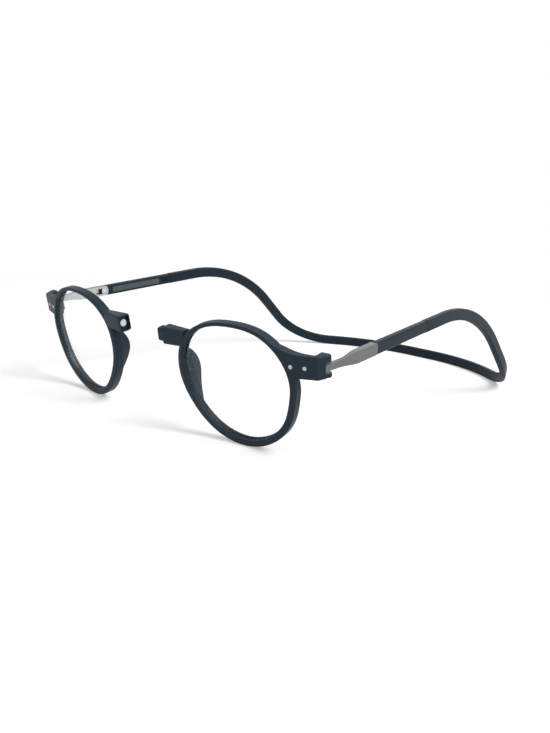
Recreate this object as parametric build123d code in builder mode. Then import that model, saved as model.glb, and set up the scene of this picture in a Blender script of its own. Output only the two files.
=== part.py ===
from build123d import *
import os
from math import acos, atan2, cos, radians, sin, sqrt, tan

# Reading glasses whose two front halves meet at the nose with magnets, on one headband.
# +Z is up, -Y is the wearer's front, +X is the wearer's left. The glasses stand on
# the rims and on the rear of the headband, with the bridge open.

# Front halves: lens, rim and their set
lens_width = 43.5
lens_height = 40.8
lens_centre_x = 41.435
lens_centre_y = -94.209
rim_temple = 2.3
rim_nasal = 2.4
rim_top = 1.3
rim_bottom = 2.5
rim_depth = 3.6
base_radius = 140.0
wrap_angle = 7.2
lean_angle = 13.5
rim_fillet = 0.5
rim_settle = 0.045
lens_front_radius = 120.0
lens_back_radius = 165.0
lens_front_inset = 0.7
lens_middle = 2.2
groove_depth = 0.5
fit_gap = 0.05
# the opening's outline, from the temple side round over the top, as shares of its half sizes
lens_outline_shares = (
    (1.0, 0.0),
    (0.895, 0.545),
    (0.502, 0.916),
    (0.0, 1.0),
    (-0.497, 0.906),
    (-0.906, 0.551),
    (-0.987, 0.0),
    (-0.787, -0.479),
    (-0.457, -0.834),
    (0.0, -1.0),
    (0.486, -0.887),
    (0.852, -0.519),
)

# End piece and hinge pin; a distance past the lens is taken from the opening's temple side
pin_past_lens = 10.9
pin_up = 10.2
pin_back = 7.9
end_up = 10.6
end_height = 8.0
end_root_inside_lens = 8.3
end_root_back = 4.0
end_blend_rise = 4.4
end_blend_run = 13.0
corner_past_lens = 9.8
end_corner_depth = 4.1
end_back = 6.0
end_wrap = 1.35
end_tail = 1.5
end_inner = 2.8
end_round = 1.0
end_edge_round = 0.7
slot_height = 3.7
slot_reach = 4.2
slot_front = 1.95
slot_radius = 1.5

# Hinge leaf, rivets and screw
leaf_inside_lens = 0.2
leaf_past_lens = 6.9
leaf_height = 4.4
leaf_thickness = 0.7
eye_radius = 1.15
eye_height = 0.61
web_front = 1.85
web_back = 0.6
turn_gap = 0.06
rivets_past_lens = (0.9, 5.6)
rivet_radius = 0.55
rivet_head_radius = 0.75
rivet_head_height = 0.4
rivet_sink = 0.3
screw_radius = 0.6
screw_head_radius = 0.8
screw_head_height = 0.6
screw_bite = 1.5
pin_gap = 0.04

# Half bridge, magnets and nose pad
bridge_past_lens = 7.75
bridge_inside_lens = 1.7
bridge_height = 6.4
bridge_depth = 4.8
bridge_front = 1.6
bridge_up = 12.6
bridge_root_height = 6.0
bridge_round = 0.9
shoulder_round = 0.4
plug_length = 2.4
plug_top_step = 0.75
plug_bottom_step = 0.65
plug_side_step = 0.6
socket_depth = 1.1
socket_gap = 0.12
magnet_gap = 0.3
magnet_radius = 1.1
magnet_length = 1.6
cup_wall = 0.2
pad_profile = ((9.0, 4.0), (5.0, 8.4), (0.8, 9.7), (-5.0, 8.0), (-10.0, 5.6), (-13.5, 4.0))
pad_start = 4.0
pad_inner = 0.15
pad_outer = 1.9
pad_nose_side = 6.0
pad_flare = 16.0
pad_round = 0.5

# Temple arm, measured along the arm from the hinge pin, which stands in from the arm's line
pin_inset = 1.0
arm_splay_share = -0.057
arm_rise_share = 0.109
knuckle_radius = 1.3
knuckle_height = 2.3
neck_thickness = 1.4
neck_end = 8.8
neck_end_height = 2.9
arm_shoulder = 15.5
arm_height = 4.2
arm_thickness = 2.4
arm_end = 27.3
arm_end_bulge = 0.9
arm_round = 0.5
socket_start = 20.7
tenon_start = 24.0
tenon_height = 2.9
tenon_thickness = 1.2
window_end = 26.5
window_height = 2.5
clip_length = 2.4
clip_height = 2.3
clip_thickness = 0.5

# Temple sleeve and slide rail
sleeve_height = 4.5
sleeve_thickness = 2.6
sleeve_end = 62.0
sleeve_round = 0.8
rail_height = 2.9
rail_thickness = 0.8
rail_start = 38.0
rail_end = 72.0
rail_gap = 0.08
rail_bore_start = 36.0
inlay_start = 29.5
inlay_end = 56.0
inlay_height = 2.6
inlay_depth = 0.2
brake_start = 57.2
brake_end = 60.8
brake_height = 1.8
brake_thickness = 0.25
brake_bow = 0.4
rail_pin_place = 68.0
rail_pin_radius = 0.5
rail_pin_cover = 0.4

# Headband: a moulded strip that drops behind the ears and runs round on the table
band_height = 4.7
band_thickness = 2.7
band_round = 0.8
band_gap = 0.3
band_top = 108.0
band_low_x = 66.0
band_low_back = 155.7
band_rear_x = 29.5
band_rear_back = 183.4
band_top_radius = 68.0
band_low_radius = 35.0
band_rear_radius = 70.5

# The upright line in the band about which a half swings in when the bridge closes
flex_x = 66.0
flex_back = 119.8

overrun = 6.0
half_way = 0.5

os.makedirs("parts", exist_ok=True)


# Directions and places of a front half

wrap = radians(wrap_angle)
lean = radians(lean_angle)
side_dir = Vector(cos(wrap), sin(wrap), 0)
level_back = Vector(-sin(wrap), cos(wrap), 0)
up_dir = level_back * -sin(lean) + Vector(0, 0, cos(lean))
back_dir = level_back * cos(lean) + Vector(0, 0, sin(lean))


def bow(reach):
    """How far the base curve has fallen back at a distance from the lens centre."""
    return base_radius - sqrt(base_radius**2 - reach**2)


rim_low = lens_height / 2 + rim_bottom
# the rounding lifts the rim's lowest point, so the front settles that much
lens_centre_z = rim_low * cos(lean) - bow(rim_low) * sin(lean) - rim_settle
lens_centre = Vector(lens_centre_x, lens_centre_y, lens_centre_z)


def front_point(out, up, back):
    """A place on a front half: out to the temple, up and back from the lens centre."""
    return lens_centre + side_dir * out + up_dir * up + back_dir * back


face_plane = Plane(origin=lens_centre, x_dir=side_dir, z_dir=back_dir * -1)


def level_plane(up):
    """Seen from above: x runs out to the temple and y runs back."""
    return Plane(origin=front_point(0, up, 0), x_dir=side_dir, z_dir=up_dir)


def side_plane(out):
    """Seen from the nose: x runs up and y runs back."""
    return Plane(origin=front_point(out, 0, 0), x_dir=up_dir, z_dir=side_dir * -1)


# Directions and planes of the temple arm

lens_edge = lens_width / 2
pin_out = lens_edge + pin_past_lens
pin_point = front_point(pin_out, pin_up, pin_back)
arm_dir = Vector(arm_splay_share, 1, arm_rise_share).normalized()
arm_out = arm_dir.cross(Vector(0, 0, 1)).normalized()
arm_up = arm_out.cross(arm_dir)
arm_start = pin_point + arm_out * pin_inset
# seen from outside: x runs back along the arm and y runs up
arm_side = Plane(origin=arm_start, x_dir=arm_dir, z_dir=arm_out)
# seen from above: x runs back along the arm and y runs in to the head
arm_top = Plane(origin=arm_start, x_dir=arm_dir, z_dir=arm_up)
# the same view, seen about the hinge pin
pin_top = Plane(origin=pin_point, x_dir=arm_dir, z_dir=arm_up)

# Closing the bridge: the swing that brings the shoulders to their closed distance

bridge_reach = lens_edge + bridge_past_lens
shoulder = front_point(-bridge_reach, bridge_up, bridge_front + bridge_depth / 2)
# the socket half reaches the middle with a collar, which the plug half stops short of
collar = plug_length - socket_depth + magnet_gap
swing_x = shoulder.X - flex_x
swing_y = shoulder.Y - arm_start.Y - flex_back
swing = atan2(swing_y, swing_x) + acos((collar - flex_x) / sqrt(swing_x**2 + swing_y**2))
# the direction that points straight at the other half once the bridge is closed
meet_out = Vector(cos(swing), sin(swing), 0)
meet_up = (up_dir - meet_out * up_dir.dot(meet_out)).normalized()
# seen from the nose: x runs up and y runs forward
meet_plane = Plane(origin=shoulder, x_dir=meet_up, z_dir=meet_out)


def loop(half_width, half_height, out, up):
    """A closed curve with the opening's form, of its own size and place."""
    return Spline(
        *[(out + half_width * a, up + half_height * b) for a, b in lens_outline_shares],
        periodic=True,
    )


def lens_loop(grow):
    """The outline of the lens opening, grown outwards."""
    return loop(lens_edge + grow, lens_height / 2 + grow, 0, 0)


def lens_blank(grow):
    """The lens, grown on every side: an outline between two spherical faces."""
    front_radius = lens_front_radius + grow
    back_radius = lens_back_radius - grow
    with BuildPart() as blank:
        with BuildSketch(face_plane.offset(overrun)):
            with BuildLine():
                lens_loop(groove_depth - fit_gap + grow)
            make_face()
        extrude(amount=-3 * overrun)
        with Locations(front_point(0, 0, lens_front_inset - grow + front_radius)):
            Sphere(front_radius, mode=Mode.INTERSECT)
        with Locations(front_point(0, 0, lens_front_inset + lens_middle + grow + back_radius)):
            Sphere(back_radius, mode=Mode.SUBTRACT)
    return blank.part


# The rim: a ring between two concentric spheres of the base curve

rim_half_width = (lens_width + rim_temple + rim_nasal) / 2
rim_half_height = (lens_height + rim_top + rim_bottom) / 2
rim_out = (rim_temple - rim_nasal) / 2
rim_up = (rim_top - rim_bottom) / 2

with BuildPart() as rim:
    with BuildSketch(face_plane.offset(overrun)):
        with BuildLine():
            loop(rim_half_width, rim_half_height, rim_out, rim_up)
        make_face()
        with BuildLine():
            lens_loop(0)
        make_face(mode=Mode.SUBTRACT)
    extrude(amount=-3 * overrun)
    with Locations(front_point(0, 0, base_radius)):
        Sphere(base_radius, mode=Mode.INTERSECT)
        Sphere(base_radius - rim_depth, mode=Mode.SUBTRACT)
    fillet(rim.edges(), rim_fillet)

# The opening, as a block that clears whatever reaches into it

with BuildPart() as opening:
    with BuildSketch(face_plane.offset(2 * overrun)):
        with BuildLine():
            lens_loop(rim_fillet)
        make_face()
    extrude(amount=-4 * overrun)

# End piece: its outline from the front, cut to its outline from above

end_top = end_up + end_height / 2
end_bottom = end_up - end_height / 2
end_root = lens_edge - end_root_inside_lens
end_corner = lens_edge + corner_past_lens
end_far = pin_out + overrun
blend_foot = end_root + end_blend_run
end_mid = (end_root + end_corner) / 2
tail_back = pin_back + end_tail
tail_out = pin_out + end_wrap
inner_foot = pin_out - end_inner
leaf_start = lens_edge - leaf_inside_lens
leaf_end = lens_edge + leaf_past_lens

with BuildPart() as end_piece:
    with BuildSketch(face_plane.offset(overrun)):
        with BuildLine():
            Line((end_root, end_bottom), (end_far, end_bottom))
            Line((end_far, end_bottom), (end_far, end_top))
            Line((end_far, end_top), (blend_foot, end_top))
            TangentArc((blend_foot, end_top), (end_root, end_top + end_blend_rise), tangent=(-1, 0))
            Line((end_root, end_top + end_blend_rise), (end_root, end_bottom))
        make_face()
    extrude(amount=-4 * overrun)
    with BuildSketch(level_plane(end_bottom - overrun)) as end_plan:
        with BuildLine():
            root_front = (end_root, bow(sqrt(end_root**2 + end_up**2)))
            mid_front = (end_mid, bow(sqrt(end_mid**2 + end_up**2)))
            corner = (end_corner, end_corner_depth)
            ThreePointArc(root_front, mid_front, corner)
            Polyline(
                corner,
                (tail_out, pin_back),
                (tail_out, tail_back),
                (inner_foot, tail_back),
                (inner_foot, end_back),
                (leaf_start, end_back),
                (end_root, end_root_back),
                root_front,
            )
        make_face()
        far_corners = end_plan.vertices().sort_by(Axis(lens_centre, side_dir))[-5:]
        fillet(far_corners, end_round)
    extrude(amount=end_height + end_blend_rise + 2 * overrun, mode=Mode.INTERSECT)
    level_edges = end_piece.edges().filter_by(lambda e: abs((e % half_way).dot(up_dir)) < half_way)
    far_edges = level_edges.filter_by(lambda e: (e @ half_way - lens_centre).dot(side_dir) > leaf_end)
    fillet(far_edges, end_edge_round)
    with Locations(front_point(0, 0, base_radius)):
        Sphere(base_radius, mode=Mode.INTERSECT)

# Half bridge: a block that grows from the rim to its shoulder

bridge_root = lens_edge - bridge_inside_lens
root_back = bow(sqrt(bridge_root**2 + bridge_up**2))
root_plane = Plane(
    origin=front_point(-bridge_root, bridge_up, root_back + rim_depth / 2),
    x_dir=up_dir,
    z_dir=side_dir,
)

with BuildPart() as half_bridge:
    with BuildSketch(meet_plane):
        RectangleRounded(bridge_height, bridge_depth, bridge_round)
    with BuildSketch(root_plane):
        RectangleRounded(bridge_root_height, rim_depth, bridge_round)
    loft()
    shoulder_face = half_bridge.faces().sort_by(Axis(shoulder, meet_out))[0]
    fillet(shoulder_face.edges(), shoulder_round)

# Nose pad: the rim's inner edge drawn back, with a rounded crest seen from the side

flare = radians(pad_flare)

with BuildPart() as nose_pad:
    with BuildSketch(face_plane.offset(-pad_start)):
        with BuildLine():
            lens_loop(pad_outer)
        make_face()
        with BuildLine():
            lens_loop(pad_inner)
        make_face(mode=Mode.SUBTRACT)
        with Locations((lens_width - pad_nose_side, 0)):
            Rectangle(2 * lens_width, 2 * lens_height, mode=Mode.SUBTRACT)
    extrude(amount=2 * overrun, dir=back_dir * cos(flare) + side_dir * sin(flare))
    with BuildSketch(side_plane(-lens_width)):
        with BuildLine():
            Spline(*pad_profile)
            Line(pad_profile[-1], pad_profile[0])
        make_face()
    extrude(amount=-2 * lens_width, mode=Mode.INTERSECT)
    pad_rear = nose_pad.faces().sort_by(Axis(lens_centre, back_dir))[-1]
    fillet(pad_rear.edges(), pad_round)

# The lens, and the groove that it snaps into

groove = lens_blank(fit_gap)

with BuildPart() as lens:
    add(lens_blank(0))

# Slot between the two ears of the end piece, square to the pin

slot_plane = pin_top.offset(-slot_height / 2)
eye_top = knuckle_height / 2 + turn_gap + eye_height
screw_tip = slot_height / 2 + screw_bite
head_seat = pin_up - end_bottom - screw_head_height
rivet_places = [lens_edge + past for past in rivets_past_lens]
rivet_seats = [
    front_point(out, end_up, bow(sqrt(out**2 + end_up**2)) + rivet_sink)
    for out in rivet_places
]

with BuildPart() as frame_body:
    add(end_piece.part)
    add(half_bridge.part)
    add(opening.part, mode=Mode.SUBTRACT)
    add(rim.part)
    add(nose_pad.part)
    add(groove, mode=Mode.SUBTRACT)
    with BuildSketch(slot_plane):
        Circle(slot_radius)
        with Locations((-slot_front, 0)):
            Rectangle(slot_front + overrun, slot_reach, align=Align.MIN)
        Rectangle(overrun, overrun, align=(Align.MIN, Align.MAX))
    extrude(amount=slot_height, mode=Mode.SUBTRACT)
    with BuildSketch(pin_top.offset(screw_tip)):
        Circle(screw_radius + pin_gap / 2)
    extrude(amount=-end_height, mode=Mode.SUBTRACT)
    with BuildSketch(pin_top.offset(-head_seat)):
        Circle(screw_head_radius + pin_gap)
    extrude(amount=-overrun, mode=Mode.SUBTRACT)
    for seat in rivet_seats:
        with BuildSketch(Plane(origin=seat, z_dir=back_dir)):
            Circle(rivet_radius)
        extrude(amount=overrun, mode=Mode.SUBTRACT)
        with BuildSketch(Plane(origin=seat, z_dir=back_dir * -1)):
            Circle(rivet_head_radius + pin_gap)
        extrude(amount=overrun, mode=Mode.SUBTRACT)

# The left half carries the plug, the right half the socket, each with its magnet

plug_height = bridge_height - plug_top_step - plug_bottom_step
plug_depth = bridge_depth - 2 * plug_side_step
plug_shift = meet_up * ((plug_bottom_step - plug_top_step) / 2)
plug_root = Plane(origin=shoulder + plug_shift, x_dir=meet_up, z_dir=meet_out)
plug_plane = plug_root.offset(-plug_length)
floor_plane = plug_root.offset(socket_depth - collar)
cup_radius = magnet_radius + cup_wall
cup_length = magnet_length + cup_wall

with BuildPart() as plug_front:
    add(frame_body.part)
    with BuildSketch(plug_root.offset(shoulder_round)):
        RectangleRounded(plug_height, plug_depth, bridge_round)
    extrude(amount=-plug_length - shoulder_round)
    with BuildSketch(plug_plane):
        Circle(cup_radius)
    extrude(amount=cup_length, mode=Mode.SUBTRACT)

with BuildPart() as socket_front:
    add(frame_body.part)
    with BuildSketch(meet_plane.offset(shoulder_round)):
        RectangleRounded(bridge_height, bridge_depth, bridge_round)
    extrude(amount=-collar - shoulder_round)
    collar_face = socket_front.faces().sort_by(Axis(shoulder, meet_out))[0]
    fillet(collar_face.edges(), shoulder_round)
    with BuildSketch(plug_root.offset(-overrun)):
        RectangleRounded(plug_height + 2 * socket_gap, plug_depth + 2 * socket_gap, bridge_round)
    extrude(amount=overrun + socket_depth - collar, mode=Mode.SUBTRACT)
    with BuildSketch(floor_plane):
        Circle(cup_radius)
    extrude(amount=cup_length, mode=Mode.SUBTRACT)


def magnet_set(plane):
    """A disc magnet flush with its face, and the thin metal cup that holds it."""
    with BuildPart() as magnet:
        with BuildSketch(plane):
            Circle(magnet_radius)
        extrude(amount=magnet_length)
    with BuildPart() as cup:
        with BuildSketch(plane):
            Circle(cup_radius)
        extrude(amount=cup_length)
        with BuildSketch(plane):
            Circle(magnet_radius)
        extrude(amount=magnet_length, mode=Mode.SUBTRACT)
    return magnet, cup


plug_magnet, plug_cup = magnet_set(plug_plane)
socket_magnet, socket_cup = magnet_set(floor_plane)

# Hinge leaf: a plate behind the end piece whose two eyes reach into the slot

web_long = web_front - web_back
web_reach = pin_out - leaf_end + end_round

with BuildPart() as hinge_leaf:
    with BuildSketch(face_plane.offset(-end_back)):
        with Locations(((leaf_start + leaf_end) / 2, end_up)):
            Rectangle(leaf_end - leaf_start, leaf_height)
    extrude(amount=-leaf_thickness)
    for eye_start in (-eye_top, eye_top - eye_height):
        with BuildSketch(pin_top.offset(eye_start)):
            Circle(eye_radius)
            with Locations((-(web_front + web_back) / 2, web_reach / 2)):
                Rectangle(web_long, web_reach)
        extrude(amount=eye_height)
    with BuildSketch(pin_top.offset(-slot_height / 2)):
        Circle(screw_radius + pin_gap / 2)
    extrude(amount=slot_height, mode=Mode.SUBTRACT)
    for seat in rivet_seats:
        with BuildSketch(Plane(origin=seat, z_dir=back_dir)):
            Circle(rivet_radius)
        extrude(amount=2 * overrun, mode=Mode.SUBTRACT)

# Two rivets with domed heads on the front

with BuildPart() as leaf_rivets:
    for out, seat in zip(rivet_places, rivet_seats):
        shank = end_back + leaf_thickness - bow(sqrt(out**2 + end_up**2)) - rivet_sink
        with BuildSketch(Plane(origin=seat, z_dir=back_dir)):
            Circle(rivet_radius)
        extrude(amount=shank)
        with BuildSketch(Plane(origin=seat, z_dir=back_dir * -1)):
            Circle(rivet_head_radius)
        head = extrude(amount=rivet_head_height)
        fillet(head.edges().sort_by(Axis(lens_centre, back_dir))[0], rivet_head_height / 2)

# Hinge screw

with BuildPart() as hinge_screw:
    with BuildSketch(pin_top.offset(-head_seat)):
        Circle(screw_radius)
    extrude(amount=head_seat + screw_tip)
    with BuildSketch(pin_top.offset(-head_seat)):
        Circle(screw_head_radius)
    extrude(amount=-screw_head_height / 2)

# Temple arm: its outline from the side, cut to its outline from above

with BuildPart() as temple_arm:
    with BuildSketch(arm_side.offset(-overrun)):
        with BuildLine():
            Line((-overrun, knuckle_height / 2), (knuckle_radius, knuckle_height / 2))
            Spline(
                (knuckle_radius, knuckle_height / 2),
                (neck_end, neck_end_height / 2),
                (arm_shoulder, arm_height / 2),
                tangents=((1, 0), (1, 0)),
            )
            Line((arm_shoulder, arm_height / 2), (arm_end - arm_end_bulge, arm_height / 2))
            ThreePointArc(
                (arm_end - arm_end_bulge, arm_height / 2),
                (arm_end, 0),
                (arm_end - arm_end_bulge, -arm_height / 2),
            )
            mirror(about=Plane.XZ)
            Line((-overrun, knuckle_height / 2), (-overrun, -knuckle_height / 2))
        make_face()
    extrude(amount=2 * overrun)
    with BuildSketch(arm_top.offset(-overrun)):
        with Locations((0, pin_inset)):
            Circle(knuckle_radius)
        with BuildLine():
            Polyline(
                (0, pin_inset + neck_thickness / 2),
                (neck_end, neck_thickness / 2),
                (arm_shoulder, arm_thickness / 2),
                (arm_end, arm_thickness / 2),
                (arm_end, -arm_thickness / 2),
                (arm_shoulder, -arm_thickness / 2),
                (neck_end, -neck_thickness / 2),
                (0, pin_inset - neck_thickness / 2),
                close=True,
            )
        make_face()
    extrude(amount=2 * overrun, mode=Mode.INTERSECT)


def arm_section(along):
    """Square to the arm: x runs up and y runs out from the head."""
    return Plane(origin=arm_start + arm_dir * along, x_dir=arm_up, z_dir=arm_dir)


# The arm's socket for the sleeve, the window beside it and the bore for the hinge screw

with BuildPart() as finished_arm:
    add(temple_arm.part)
    with BuildSketch(arm_section(socket_start)):
        Rectangle(tenon_height + 2 * fit_gap, tenon_thickness + 2 * fit_gap)
    extrude(amount=arm_end, mode=Mode.SUBTRACT)
    with BuildSketch(arm_side):
        with Locations(((socket_start + window_end) / 2, 0)):
            RectangleRounded(window_end - socket_start, window_height, arm_round)
    extrude(amount=-arm_thickness, mode=Mode.SUBTRACT)
    with BuildSketch(pin_top.offset(-knuckle_height)):
        Circle(screw_radius + pin_gap)
    extrude(amount=2 * knuckle_height, mode=Mode.SUBTRACT)

# Bright stop in the window, resting on the sleeve's tenon

clip_start = window_end - clip_length - fit_gap

with BuildPart() as tenon_clip:
    with BuildSketch(arm_side.offset(-tenon_thickness / 2)):
        with Locations((clip_start + clip_length / 2, 0)):
            RectangleRounded(clip_length, clip_height, arm_round)
    extrude(amount=-clip_thickness)

# Temple sleeve: the moulded tube that slides on the rail

sleeve_start = arm_end + fit_gap
sleeve_foot = sleeve_start - arm_end_bulge

with BuildPart() as sleeve_body:
    with BuildSketch(arm_side.offset(-sleeve_thickness / 2)):
        with BuildLine():
            ThreePointArc(
                (sleeve_foot, sleeve_height / 2),
                (sleeve_start, 0),
                (sleeve_foot, -sleeve_height / 2),
            )
            Line((sleeve_foot, -sleeve_height / 2), (sleeve_end, -sleeve_height / 2))
            Line((sleeve_end, -sleeve_height / 2), (sleeve_end, sleeve_height / 2))
            Line((sleeve_end, sleeve_height / 2), (sleeve_foot, sleeve_height / 2))
        make_face()
    extrude(amount=sleeve_thickness)
    fillet(sleeve_body.edges().filter_by(lambda e: e.length > sleeve_end / 2), sleeve_round)

rail_bore_height = rail_height + 2 * rail_gap
rail_bore_thickness = rail_thickness + 2 * rail_gap

with BuildPart() as temple_sleeve:
    add(sleeve_body.part)
    with BuildSketch(arm_section(tenon_start)):
        Rectangle(tenon_height, tenon_thickness)
    extrude(amount=sleeve_start - tenon_start)
    with BuildSketch(arm_section(rail_bore_start)):
        Rectangle(rail_bore_height, rail_bore_thickness)
    extrude(amount=sleeve_end, mode=Mode.SUBTRACT)
    with BuildSketch(arm_side.offset(-sleeve_thickness / 2)):
        with Locations(((inlay_start + inlay_end) / 2, 0)):
            RectangleRounded(inlay_end - inlay_start, inlay_height, sleeve_round)
    extrude(amount=inlay_depth, mode=Mode.SUBTRACT)
    with BuildSketch(arm_side.offset(-sleeve_thickness)):
        with Locations(((brake_start + brake_end) / 2, 0)):
            Rectangle(brake_end - brake_start, brake_height)
    extrude(amount=sleeve_thickness, mode=Mode.SUBTRACT)

# Brake spring: a thin bowed leaf in the sleeve's inner window, close to the rail

leaf_low = rail_thickness / 2 + fit_gap
leaf_from = brake_start + fit_gap
leaf_to = brake_end - fit_gap
leaf_middle = (leaf_from + leaf_to) / 2

with BuildPart() as detent_spring:
    with BuildSketch(arm_top.offset(-brake_height / 2 + fit_gap)):
        with BuildLine():
            ThreePointArc(
                (leaf_from, leaf_low + brake_bow),
                (leaf_middle, leaf_low),
                (leaf_to, leaf_low + brake_bow),
            )
            offset(amount=brake_thickness, side=Side.LEFT)
        make_face()
    extrude(amount=brake_height - 2 * fit_gap)

# Slide rail: a flat steel strip fixed in the headband's end, and its cross pin

with BuildPart() as slide_rail:
    with BuildSketch(arm_section(rail_start)):
        Rectangle(rail_height, rail_thickness)
    extrude(amount=rail_end - rail_start)
    fillet(slide_rail.edges().filter_by(lambda e: e.length < rail_height / 2), rail_thickness / 4)
    with BuildSketch(arm_side.offset(-rail_thickness)):
        with Locations((rail_pin_place, 0)):
            Circle(rail_pin_radius + pin_gap / 2)
    extrude(amount=2 * rail_thickness, mode=Mode.SUBTRACT)

with BuildPart() as rail_pin:
    with BuildSketch(arm_side.offset(-band_thickness / 2)):
        with Locations((rail_pin_place, 0)):
            Circle(rail_pin_radius)
    extrude(amount=band_thickness - rail_pin_cover)

# Headband: down behind the ear, round the turn, and along the table to the middle


def bend(before, corner, after, radius):
    """Start, middle and end of the arc that rounds the corner between two straights."""
    inward = (before - corner).normalized()
    onward = (after - corner).normalized()
    half_angle = acos(inward.dot(onward)) / 2
    middle_dir = (inward + onward).normalized()
    run = radius / tan(half_angle)
    middle = corner + middle_dir * (radius / sin(half_angle) - radius)
    return corner + inward * run, middle, corner + onward * run


band_start = arm_start + arm_dir * (sleeve_end + band_gap)
top_corner = arm_start + arm_dir * band_top
low_corner = Vector(band_low_x, arm_start.Y + band_low_back, band_height / 2)
rear_corner = Vector(band_rear_x, arm_start.Y + band_rear_back, band_height / 2)
rear_middle = Vector(0, rear_corner.Y, band_height / 2)
top_bend = bend(band_start, top_corner, low_corner, band_top_radius)
low_bend = bend(top_corner, low_corner, rear_corner, band_low_radius)
rear_bend = bend(low_corner, rear_corner, rear_middle, band_rear_radius)
drop_dir = (low_corner - top_corner).normalized()
rear_dir = (rear_corner - low_corner).normalized()
band_out = drop_dir.cross(arm_dir).normalized()
start_plane = Plane(origin=band_start, x_dir=band_out.cross(arm_dir), z_dir=arm_dir)
turn_plane = Plane(origin=low_bend[0], x_dir=band_out.cross(drop_dir), z_dir=drop_dir)
rear_plane = Plane(origin=low_bend[2], x_dir=Vector(0, 0, 1), z_dir=rear_dir)

with BuildPart() as headband:
    with BuildLine() as drop_path:
        Line(band_start, top_bend[0])
        ThreePointArc(*top_bend)
        Line(top_bend[2], low_bend[0])
    with BuildSketch(start_plane):
        RectangleRounded(band_height, band_thickness, band_round)
    sweep(path=drop_path.wire())
    with BuildLine() as turn_path:
        ThreePointArc(*low_bend)
    with BuildSketch(turn_plane):
        RectangleRounded(band_height, band_thickness, band_round)
    with BuildSketch(rear_plane):
        RectangleRounded(band_height, band_thickness, band_round)
    sweep(path=turn_path.wire(), multisection=True)
    with BuildLine() as rear_path:
        Line(low_bend[2], rear_bend[0])
        ThreePointArc(*rear_bend)
        Line(rear_bend[2], rear_middle)
    with BuildSketch(rear_plane):
        RectangleRounded(band_height, band_thickness, band_round)
    sweep(path=rear_path.wire())
    with BuildSketch(arm_section(sleeve_end)):
        Rectangle(rail_bore_height, rail_bore_thickness)
    extrude(amount=rail_end + rail_gap - sleeve_end, mode=Mode.SUBTRACT)
    with BuildSketch(arm_side.offset(-band_thickness)):
        with Locations((rail_pin_place, 0)):
            Circle(rail_pin_radius + pin_gap / 2)
    extrude(amount=3 * band_thickness / 2 - rail_pin_cover, mode=Mode.SUBTRACT)
    mirror(about=Plane.YZ)

# The pieces of the wearer's left side, and the right side as their mirror image

left_pieces = {
    "front_frame": plug_front,
    "lens": lens,
    "bridge_magnet": plug_magnet,
    "magnet_cup": plug_cup,
    "hinge_leaf": hinge_leaf,
    "leaf_rivets": leaf_rivets,
    "hinge_screw": hinge_screw,
    "temple_arm": finished_arm,
    "tenon_clip": tenon_clip,
    "temple_sleeve": temple_sleeve,
    "detent_spring": detent_spring,
    "slide_rail": slide_rail,
    "rail_pin": rail_pin,
}
# the socket, and the magnet at its floor, are on the right half only
right_sources = dict(left_pieces)
right_sources["front_frame"] = socket_front
right_sources["bridge_magnet"] = socket_magnet
right_sources["magnet_cup"] = socket_cup

for name, piece in left_pieces.items():
    piece.part.label = f"left_{name}"
    export_step(piece.part, f"parts/left_{name}.step")

for name, source in right_sources.items():
    with BuildPart() as piece:
        mirror(source.part, about=Plane.YZ)
    piece.part.label = f"right_{name}"
    export_step(piece.part, f"parts/right_{name}.step")

headband.part.label = "headband"
export_step(headband.part, "parts/headband.step")
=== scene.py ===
from math import radians

import bmesh
import bpy
from mathutils import Matrix, Vector


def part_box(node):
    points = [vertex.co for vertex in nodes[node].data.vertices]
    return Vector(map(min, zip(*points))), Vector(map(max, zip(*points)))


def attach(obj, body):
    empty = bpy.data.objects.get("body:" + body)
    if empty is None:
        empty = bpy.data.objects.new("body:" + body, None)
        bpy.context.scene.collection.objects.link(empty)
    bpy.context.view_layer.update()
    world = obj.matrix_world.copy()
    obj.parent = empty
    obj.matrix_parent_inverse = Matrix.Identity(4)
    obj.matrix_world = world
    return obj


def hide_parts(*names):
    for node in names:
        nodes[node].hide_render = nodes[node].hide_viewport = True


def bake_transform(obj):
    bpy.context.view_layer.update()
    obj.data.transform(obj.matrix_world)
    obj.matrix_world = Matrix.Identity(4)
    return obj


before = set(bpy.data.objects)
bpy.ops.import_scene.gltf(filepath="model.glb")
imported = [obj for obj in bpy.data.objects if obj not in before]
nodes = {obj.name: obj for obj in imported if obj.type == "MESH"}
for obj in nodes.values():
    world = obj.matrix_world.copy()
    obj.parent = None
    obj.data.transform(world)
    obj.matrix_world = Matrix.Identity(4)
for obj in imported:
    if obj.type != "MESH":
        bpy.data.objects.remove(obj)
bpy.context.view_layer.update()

# The wearer's sides, and the way along X that leads out from the head
SIDES = {"left": 1, "right": -1}

# Camera: its place, the directions of its view in the CAD's axes, its lens in mm,
# and how near and how far it sees
CAMERA_PLACE = (0.21745, -0.28072, 0.08910)
CAMERA_RIGHT = (0.7530, 0.6550, 0.0629)
CAMERA_UP = (-0.1950, 0.1308, 0.9721)
CAMERA_LENS = 39.28
CAMERA_REACH = (0.01, 20.0)

# Bend of the left half of the headband: between the rear place and the front place it is cut at
# every step
BEND_REAR = (0.066, 0.077, 0.0)
BEND_FRONT = (0.066, -0.009, 0.0)
BEND_STEP = 0.003

# Left temple: where its line starts, and its direction out from the head
ARM_START = Vector((0.07416, -0.08480, 0.03354))
ARM_OUT = Vector((0.99838, 0.05691, 0.0))

# Inlay of the sleeve: how far out from the temple's line its faces lie, how closely,
# and how much they face the head
INLAY_DEPTH = -0.0011
INLAY_TOLERANCE = 0.00004
INLAY_FACING = -0.99

# How much a face of the arm has to face the head to be polished and painted lighter, a painted
# highlight
HIGHLIT_FACING = -0.7

# Lenses: faces that look along the lens's own axis by less than the limit are ground edge
EDGE_LIMIT = 0.95
LENS_SHRINK = 0.995

# How steeply a lens gains gloss as it turns away
LENS_RISE = 5.0

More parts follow.
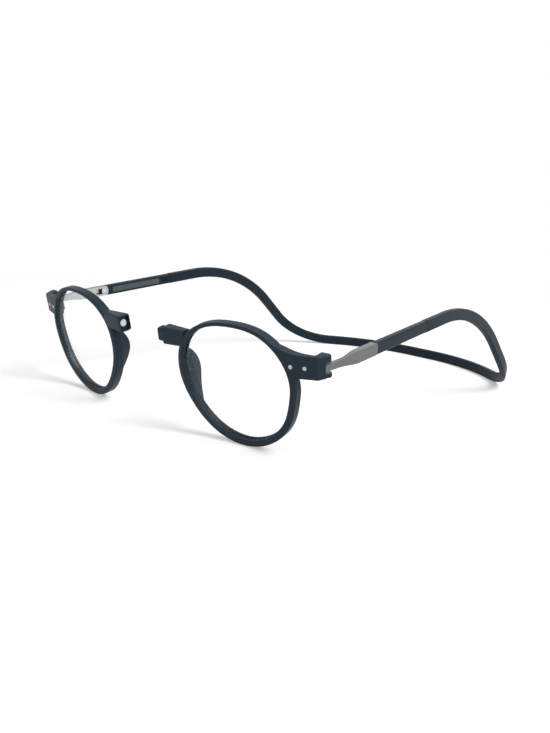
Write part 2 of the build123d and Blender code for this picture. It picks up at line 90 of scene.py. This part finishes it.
# Vertices nearer than this are one, and edges that turn more than this stay sharp
MERGE = 1e-6
SHARP_ANGLE = radians(35)

# Surface grain: its fineness, the layers of its noise and the height of its bumps,
# then how much it changes the roughness and how much of the bump it keeps
GRAIN_SCALE = 3500.0
GRAIN_DETAIL = 4.0
GRAIN_HEIGHT = 0.0001
PLASTIC_GRAIN = (0.08, 0.06)
METAL_GRAIN = (0.1, 0.03)

PLASTIC_IOR = 1.5
PLASTIC_GLOSS = 0.12

# Floor: its width, its shade, where that begins to fade into plain white and where it has,
# from the middle, and the white that is seen on it beside its light
FLOOR_WIDTH = 6.0
FLOOR_SHADE = 0.9
FLOOR_ROUGHNESS = 0.8
FLOOR_FADE = (0.25, 0.5)
FLOOR_LIFT = 0.34

# Even light from all round: its strength, its share on the dim side, and the directions
# along X between which it rises from one to the other
AIR_LIGHT = 0.15
DIM_SIDE = 0.05
DIM_REACH = (-1.0, 0.2)

# Lamps, which all point at the middle: name, place, width and power
LAMPS = (
    ("key", (1.72, 0.22, 2.2), 1.6, 58.0),
    ("front", (0.7, -1.2, 0.8), 1.2, 8.0),
    ("rear", (-0.2, 1.0, 0.9), 1.0, 2.2),
)


# Materials

def new_material(name):
    """A material with its node tree and its Principled shader."""
    material = bpy.data.materials.new(name)
    material.use_nodes = True
    tree = material.node_tree
    return material, tree, tree.nodes["Principled BSDF"]


def math_node(tree, operation, *values, clamp=False):
    """The result of a Math node, whose values are numbers or the outputs of other nodes."""
    node = tree.nodes.new("ShaderNodeMath")
    node.operation = operation
    node.use_clamp = clamp
    for socket, value in zip(node.inputs, values):
        if isinstance(value, (int, float)):
            socket.default_value = value
        else:
            tree.links.new(value, socket)
    return node.outputs[0]


def looked_at(tree):
    """1 for rays that look at a surface, straight, mirrored or through, and 0 for others."""
    rays = tree.nodes.new("ShaderNodeLightPath").outputs
    outside = math_node(tree, "MAXIMUM", rays["Is Camera Ray"], rays["Is Glossy Ray"])
    return math_node(tree, "MAXIMUM", outside, rays["Is Transmission Ray"])


def grain_group():
    """Fine surface grain: a roughness value and a bumped normal from Object coordinates."""
    group = bpy.data.node_groups.new("surface_grain", "ShaderNodeTree")
    face = group.interface
    for name in ("Scale", "Roughness", "Spread", "Depth"):
        face.new_socket(name, in_out="INPUT", socket_type="NodeSocketFloat")
    face.new_socket("Roughness", in_out="OUTPUT", socket_type="NodeSocketFloat")
    face.new_socket("Normal", in_out="OUTPUT", socket_type="NodeSocketVector")
    inlet = group.nodes.new("NodeGroupInput").outputs
    outlet = group.nodes.new("NodeGroupOutput").inputs
    place = group.nodes.new("ShaderNodeTexCoord")
    noise = group.nodes.new("ShaderNodeTexNoise")
    noise.inputs["Detail"].default_value = GRAIN_DETAIL
    bump = group.nodes.new("ShaderNodeBump")
    bump.inputs["Distance"].default_value = GRAIN_HEIGHT
    link = group.links.new
    link(place.outputs["Object"], noise.inputs["Vector"])
    link(inlet["Scale"], noise.inputs["Scale"])
    height = noise.outputs["Fac"]
    roughness = math_node(group, "MULTIPLY_ADD", height, inlet["Spread"], inlet["Roughness"])
    link(height, bump.inputs["Height"])
    link(inlet["Depth"], bump.inputs["Strength"])
    link(roughness, outlet["Roughness"])
    link(bump.outputs["Normal"], outlet["Normal"])
    return group


GRAIN = grain_group()


def add_grain(tree, shader, roughness, spread, depth):
    """Gives a shader the shared grain."""
    grain = tree.nodes.new("ShaderNodeGroup")
    grain.node_tree = GRAIN
    grain.inputs["Scale"].default_value = GRAIN_SCALE
    grain.inputs["Roughness"].default_value = roughness
    grain.inputs["Spread"].default_value = spread
    grain.inputs["Depth"].default_value = depth
    for name in ("Roughness", "Normal"):
        tree.links.new(grain.outputs[name], shader.inputs[name])


def plastic(name, color, roughness, transmission=0.0):
    """Moulded plastic, solid or frosted and partly see-through."""
    material, tree, shader = new_material(name)
    shader.inputs["Base Color"].default_value = (*color, 1.0)
    shader.inputs["IOR"].default_value = PLASTIC_IOR
    shader.inputs["Specular IOR Level"].default_value = PLASTIC_GLOSS
    shader.inputs["Transmission Weight"].default_value = transmission
    add_grain(tree, shader, roughness, *PLASTIC_GRAIN)
    return material


def metal(name, color, roughness):
    """Bare or plated metal."""
    material, tree, shader = new_material(name)
    shader.inputs["Base Color"].default_value = (*color, 1.0)
    shader.inputs["Metallic"].default_value = 1.0
    add_grain(tree, shader, roughness, *METAL_GRAIN)
    return material


def clear_lens(name, roughness, gloss_ahead, gloss_aside):
    """Clear plastic that reflects more where it turns away, and casts no shadow."""
    material, tree, shader = new_material(name)
    shader.inputs["Base Color"].default_value = (1.0, 1.0, 1.0, 1.0)
    shader.inputs["Roughness"].default_value = roughness
    shader.inputs["Metallic"].default_value = 1.0
    slant = tree.nodes.new("ShaderNodeLayerWeight")
    slant.inputs["Blend"].default_value = 0.5
    rise = math_node(tree, "POWER", slant.outputs["Facing"], LENS_RISE)
    gloss = math_node(tree, "MULTIPLY_ADD", rise, gloss_aside - gloss_ahead, gloss_ahead)
    shadow = tree.nodes.new("ShaderNodeLightPath").outputs["Is Shadow Ray"]
    alpha = math_node(tree, "SUBTRACT", gloss, shadow, clamp=True)
    tree.links.new(alpha, shader.inputs["Alpha"])
    return material


frosted = plastic("frosted_frame", (0.012, 0.027, 0.040), 0.4, transmission=0.15)
band_plastic = plastic("band_plastic", (0.011, 0.021, 0.031), 0.4)
inlay_plastic = plastic("inlay_plastic", (0.08, 0.1, 0.105), 0.45)
satin_steel = metal("satin_steel", (0.165, 0.175, 0.171), 0.34)
# The arm's head side: smoother steel, and a lighter colour than the outer side that is a painted
# highlight
polished_highlit_steel = metal("polished_highlit_steel", (0.5, 0.52, 0.52), 0.22)
bright_steel = metal("bright_steel", (0.62, 0.64, 0.64), 0.22)
rivet_steel = metal("rivet_steel", (0.42, 0.44, 0.45), 0.3)
dull_steel = metal("dull_steel", (0.12, 0.125, 0.125), 0.42)
black_steel = metal("black_steel", (0.02, 0.022, 0.024), 0.5)
nickel = metal("nickel", (0.6, 0.6, 0.59), 0.2)
polished_lens = clear_lens("polished_lens", 0.03, 0.02, 0.3)
lens_edge = clear_lens("lens_edge", 0.3, 0.01, 0.02)

# The nodes that keep their CAD shape, each of them on both sides
NODE_MATERIALS = {
    "front_frame": frosted,
    "bridge_magnet": nickel,
    "magnet_cup": bright_steel,
    "hinge_leaf": dull_steel,
    "leaf_rivets": rivet_steel,
    "hinge_screw": dull_steel,
    "temple_arm": satin_steel,
    "tenon_clip": bright_steel,
    "temple_sleeve": band_plastic,
    "detent_spring": black_steel,
    "slide_rail": dull_steel,
    "rail_pin": black_steel,
}


def cover(node, material):
    """Gives a node one material for all its faces."""
    materials = nodes[node].data.materials
    materials.clear()
    materials.append(material)


def paint(node, material, wanted):
    """Gives a second material to the faces of a node that are wanted."""
    mesh = nodes[node].data
    mesh.materials.append(material)
    for face in mesh.polygons:
        if wanted(face):
            face.material_index = 1


def paint_temple(side, outward):
    """The inlay of a sleeve, and the inner side of an arm: polished, and painted lighter than
    the outer side as a painted highlight.
    """
    flip = Vector((outward, 1, 1))
    out = ARM_OUT * flip
    start = ARM_START * flip

    def in_inlay(face):
        depth = (face.center - start).dot(out)
        return face.normal.dot(out) < INLAY_FACING and abs(depth - INLAY_DEPTH) < INLAY_TOLERANCE

    def faces_head(face):
        return face.normal.dot(out) < HIGHLIT_FACING

    paint(f"{side}_temple_sleeve", inlay_plastic, in_inlay)
    # Faces towards the head get the smoother, lighter steel, whose lighter colour is a painted
    # highlight
    paint(f"{side}_temple_arm", polished_highlit_steel, faces_head)


for side, outward in SIDES.items():
    for node, material in NODE_MATERIALS.items():
        cover(f"{side}_{node}", material)
    paint_temple(side, outward)
cover("headband", band_plastic)


# Pieces that stand for a node

def merged_copy(node):
    """A copy of a node's mesh, with its loose triangles joined."""
    shape = bmesh.new()
    shape.from_mesh(nodes[node].data)
    bmesh.ops.remove_doubles(shape, verts=shape.verts, dist=MERGE)
    return shape


def finished_piece(name, shape, *materials):
    """An object made from a shape, smooth but for its sharp edges."""
    mesh = bpy.data.meshes.new(name)
    shape.to_mesh(mesh)
    shape.free()
    for material in materials:
        mesh.materials.append(material)
    mesh.shade_smooth()
    mesh.set_sharp_from_angle(angle=SHARP_ANGLE)
    piece = bpy.data.objects.new(name, mesh)
    bpy.context.scene.collection.objects.link(piece)
    return piece


# Lenses: each a hair smaller than its seat, so that the wall behind shows cleanly

def seated_lens(side):
    """The lens of one side, drawn in from the wall of its rim, with a ground edge."""
    node = f"{side}_lens"
    glass = merged_copy(node)
    front_faces = [face for face in glass.faces if face.normal.y < 0]
    axis = sum((face.normal * face.calc_area() for face in front_faces), Vector())
    axis.normalize()
    low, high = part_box(node)
    middle = (Vector(low) + Vector(high)) / 2
    shrink = Matrix.Scale(LENS_SHRINK, 4) @ Matrix.Scale(1 / LENS_SHRINK, 4, axis)
    bmesh.ops.transform(
        glass,
        matrix=shrink,
        space=Matrix.Translation(-middle),
        verts=glass.verts,
    )
    for face in glass.faces:
        face.material_index = 1 if abs(face.normal.dot(axis)) < EDGE_LIMIT else 0
    piece = finished_piece(f"{side}_lens_glass", glass, polished_lens, lens_edge)
    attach(piece, f"{side}_front")
    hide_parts(node)


# Headband: two halves that meet in the middle at the rear, cut across along their sides

def even_shading(piece):
    """Sets the normals of a piece by the area of its faces, so that flat runs shade flat."""
    weight = piece.modifiers.new("even_shading", "WEIGHTED_NORMAL")
    weight.mode = "FACE_AREA"
    weight.weight = 100
    weight.keep_sharp = True
    depsgraph = bpy.context.evaluated_depsgraph_get()
    shaded = piece.evaluated_get(depsgraph)
    mesh = bpy.data.meshes.new_from_object(
        shaded, preserve_all_data_layers=True, depsgraph=depsgraph
    )
    piece.modifiers.clear()
    piece.data = mesh


def cut(shape, place, normal, clear=False):
    """Cuts every face of a shape along a plane, and clears the far side if asked."""
    bmesh.ops.bisect_plane(
        shape,
        geom=shape.verts[:] + shape.edges[:] + shape.faces[:],
        plane_co=place,
        plane_no=normal,
        clear_outer=clear,
    )


def band_half(side, outward):
    """One half of the headband, cut across often enough to bend smoothly."""
    half = merged_copy("headband")
    cut(half, (0, 0, 0), (-outward, 0, 0), clear=True)
    stations = int((BEND_REAR[1] - BEND_FRONT[1]) / BEND_STEP)
    for i in range(1, stations):
        cut(half, (0, BEND_FRONT[1] + i * BEND_STEP, 0), (0, 1, 0))
    piece = finished_piece(f"{side}_band_half", half, band_plastic)
    even_shading(piece)
    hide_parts("headband")
    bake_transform(piece)


for side in SIDES:
    seated_lens(side)
for side, outward in SIDES.items():
    band_half(side, outward)


# Floor, light and camera

def pale_floor():
    """A pale floor that keeps the shadows near the glasses and is white further out."""
    bpy.ops.mesh.primitive_plane_add(size=FLOOR_WIDTH)
    floor = bpy.context.object
    floor.name = "floor"
    material, tree, shader = new_material("floor")
    shader.inputs["Base Color"].default_value = (FLOOR_SHADE, FLOOR_SHADE, FLOOR_SHADE, 1.0)
    shader.inputs["Roughness"].default_value = FLOOR_ROUGHNESS
    shader.inputs["Specular IOR Level"].default_value = 0.0
    shader.inputs["Emission Color"].default_value = (1.0, 1.0, 1.0, 1.0)
    place = tree.nodes.new("ShaderNodeTexCoord")
    reach = tree.nodes.new("ShaderNodeVectorMath")
    reach.operation = "LENGTH"
    fade = tree.nodes.new("ShaderNodeMapRange")
    fade.interpolation_type = "SMOOTHSTEP"
    fade.inputs["From Min"].default_value = FLOOR_FADE[0]
    fade.inputs["From Max"].default_value = FLOOR_FADE[1]
    white = tree.nodes.new("ShaderNodeEmission")
    mix = tree.nodes.new("ShaderNodeMixShader")
    link = tree.links.new
    link(place.outputs["Object"], reach.inputs[0])
    link(reach.outputs["Value"], fade.inputs["Value"])
    seen = looked_at(tree)
    link(math_node(tree, "MULTIPLY", fade.outputs["Result"], seen), mix.inputs["Fac"])
    link(math_node(tree, "MULTIPLY", seen, FLOOR_LIFT), shader.inputs["Emission Strength"])
    link(shader.outputs["BSDF"], mix.inputs[1])
    link(white.outputs["Emission"], mix.inputs[2])
    link(mix.outputs["Shader"], tree.nodes["Material Output"].inputs["Surface"])
    floor.data.materials.append(material)


def soft_light(name, place, width, power):
    """A square area light that points at the middle."""
    data = bpy.data.lights.new(name, "AREA")
    data.size = width
    data.energy = power
    light = bpy.data.objects.new(name, data)
    light.location = place
    light.rotation_mode = "QUATERNION"
    light.rotation_quaternion = (-Vector(place)).to_track_quat("-Z", "Y")
    bpy.context.scene.collection.objects.link(light)


def studio_air():
    """Even light, dimmer from the wearer's right, and plain white where it is seen."""
    world = bpy.data.worlds.new("studio")
    bpy.context.scene.world = world
    world.use_nodes = True
    tree = world.node_tree
    sky = tree.nodes["Background"]
    sky.inputs["Color"].default_value = (1.0, 1.0, 1.0, 1.0)
    place = tree.nodes.new("ShaderNodeTexCoord")
    axes = tree.nodes.new("ShaderNodeSeparateXYZ")
    dim = tree.nodes.new("ShaderNodeMapRange")
    dim.interpolation_type = "SMOOTHSTEP"
    dim.inputs["From Min"].default_value = DIM_REACH[0]
    dim.inputs["From Max"].default_value = DIM_REACH[1]
    dim.inputs["To Min"].default_value = AIR_LIGHT * DIM_SIDE
    dim.inputs["To Max"].default_value = AIR_LIGHT
    link = tree.links.new
    link(place.outputs["Generated"], axes.inputs[0])
    link(axes.outputs["X"], dim.inputs["Value"])
    strength = math_node(tree, "MAXIMUM", dim.outputs["Result"], looked_at(tree))
    link(strength, sky.inputs["Strength"])


def photo_camera():
    """A camera at the photograph's viewing angle."""
    data = bpy.data.cameras.new("camera")
    data.lens = CAMERA_LENS
    data.clip_start, data.clip_end = CAMERA_REACH
    camera = bpy.data.objects.new("camera", data)
    bpy.context.scene.collection.objects.link(camera)
    right = Vector(CAMERA_RIGHT).normalized()
    up = Vector(CAMERA_UP)
    up = (up - right * up.dot(right)).normalized()
    turn = Matrix((right, up, right.cross(up))).transposed()
    camera.matrix_world = Matrix.Translation(CAMERA_PLACE) @ turn.to_4x4()
    bpy.context.scene.camera = camera


pale_floor()
for lamp in LAMPS:
    soft_light(*lamp)
studio_air()
photo_camera()
bpy.context.scene.view_settings.view_transform = "Standard"
